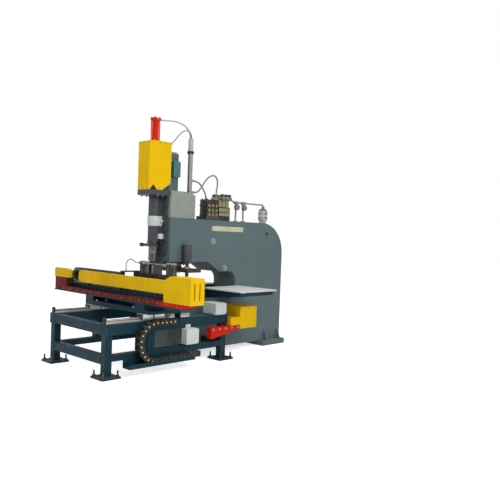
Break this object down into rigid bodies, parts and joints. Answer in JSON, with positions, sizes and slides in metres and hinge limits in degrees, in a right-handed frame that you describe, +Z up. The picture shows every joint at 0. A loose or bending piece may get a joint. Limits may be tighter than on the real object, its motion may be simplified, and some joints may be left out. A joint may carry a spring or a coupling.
{
  "type": "plate punching and drilling machine",
  "caption": "Hydraulic C-frame plate punch with a drill head ahead of its nose, and a feed table whose saddle and cross beam move the plate clamps.",
  "frame": {"origin": "on the floor, under the middle of the machine's outline", "axes": "+Y from the feed table to the back of the C-frame, +Z up, +X to the machine's right"},
  "size_m": [2.497, 3.051, 2.712],
  "materials": {
    "frame_paint": "satin grey-green paint",
    "bracket_paint": "satin light grey-green paint",
    "base_paint": "satin dark teal paint",
    "yellow_paint": "satin yellow paint",
    "red_paint": "satin red paint",
    "dark_paint": "satin dark brown-grey paint",
    "white_paint": "satin white paint",
    "bright_steel": "ground",
    "cast_parts": "machined",
    "motor_black": "satin black paint",
    "chain_black": "moulded black",
    "hose_rubber": "matt black"
  },
  "bodies": {
    "frame": {"c_frame": "frame_paint", "table_base": "base_paint", "levelling_bolts": "bright_steel", "y_rails": "bright_steel", "y_bearing_blocks": "cast_parts", "y_servo_motor": "motor_black", "y_drive_cover": "yellow_paint", "y_drive_bracket": "red_paint", "chain_tray": "base_paint", "y_drag_chain": "chain_black", "junction_box_upper": "white_paint", "junction_box_lower": "white_paint", "support_plates": "bright_steel", "support_brackets": "base_paint", "die_holder": "dark_paint", "die": "bright_steel", "punch_cylinder": "dark_paint", "hold_down_cylinders": "dark_paint", "drill_bracket": "bracket_paint", "spindle_housing": "dark_paint", "housing_band": "white_paint", "gear_housing": "dark_paint", "head_cover": "yellow_paint", "feed_cylinder": "red_paint", "drill_motor": "bracket_paint", "hose_mast": "cast_parts", "feed_hose": "hose_rubber", "motor_lead": "hose_rubber", "supply_hose": "hose_rubber", "return_hose": "hose_rubber", "manifold": "dark_paint", "valve_bank": "cast_parts", "accumulator": "white_paint", "pressure_pipe": "cast_parts", "frame_trunnions": "frame_paint", "sensor_box": "white_paint"},
    "ram": {"punch_ram": "bright_steel", "punch": "bright_steel"},
    "stripper": {"stripper_plate": "bright_steel"},
    "quill": {"quill": "bright_steel", "quill_arm": "dark_paint"},
    "spindle": {"spindle": "bright_steel", "drill_bit": "bright_steel"},
    "saddle": {"saddle": "base_paint", "y_guide_blocks": "bright_steel", "beam_base": "red_paint", "x_beam": "base_paint", "x_rails": "bright_steel", "beam_cover": "yellow_paint", "motor_box": "yellow_paint", "end_cap": "yellow_paint", "x_servo_motor": "motor_black", "x_drag_chain": "chain_black"},
    "carriage": {"x_carriage": "dark_paint", "clamp_bodies": "dark_paint", "clamp_hose": "hose_rubber"},
    "clamp_left": {"clamp_jaw_left": "bright_steel"},
    "clamp_right": {"clamp_jaw_right": "bright_steel"},
    "y_screw": {"y_ball_screw": "bright_steel"},
    "x_screw": {"x_ball_screw": "bright_steel"}
  },
  "joints": [
    {"name": "y_feed", "type": "slide", "parent": "frame", "child": "saddle", "axis": [0, 1, 0], "range_m": [-0.4, 0.1], "deforming": ["y_drag_chain"]},
    {"name": "x_feed", "type": "slide", "parent": "saddle", "child": "carriage", "axis": [1, 0, 0], "range_m": [-0.6, 0.08], "deforming": ["x_drag_chain"]},
    {"name": "clamp_left_close", "type": "slide", "parent": "carriage", "child": "clamp_left", "axis": [0, 0, 1], "range_m": [-0.03, 0]},
    {"name": "clamp_right_close", "type": "slide", "parent": "carriage", "child": "clamp_right", "axis": [0, 0, 1], "range_m": [-0.03, 0]},
    {"name": "punch_stroke", "type": "slide", "parent": "frame", "child": "ram", "axis": [0, 0, 1], "range_m": [-0.066, 0]},
    {"name": "stripper_stroke", "type": "slide", "parent": "frame", "child": "stripper", "axis": [0, 0, 1], "range_m": [-0.045, 0]},
    {"name": "drill_feed", "type": "slide", "parent": "frame", "child": "quill", "axis": [0, 0, 1], "range_m": [-0.16, 0]},
    {"name": "drill_spin", "type": "hinge", "parent": "quill", "child": "spindle", "pos_m": [0, -0.525, 1.2], "axis": [0, 0, 1], "continuous": true},
    {"name": "y_screw_turn", "type": "hinge", "parent": "frame", "child": "y_screw", "pos_m": [0.35, 0, 0.47], "axis": [0, 1, 0], "range_deg": [-3700, 1000]},
    {"name": "x_screw_turn", "type": "hinge", "parent": "saddle", "child": "x_screw", "pos_m": [0, -0.828, 0.842], "axis": [1, 0, 0], "range_deg": [-5600, 800]}
  ],
  "couplings": [
    {"joint": "y_screw_turn", "follows": "y_feed", "rad_per_m": 157.08},
    {"joint": "x_screw_turn", "follows": "x_feed", "rad_per_m": 157.08}
  ]
}
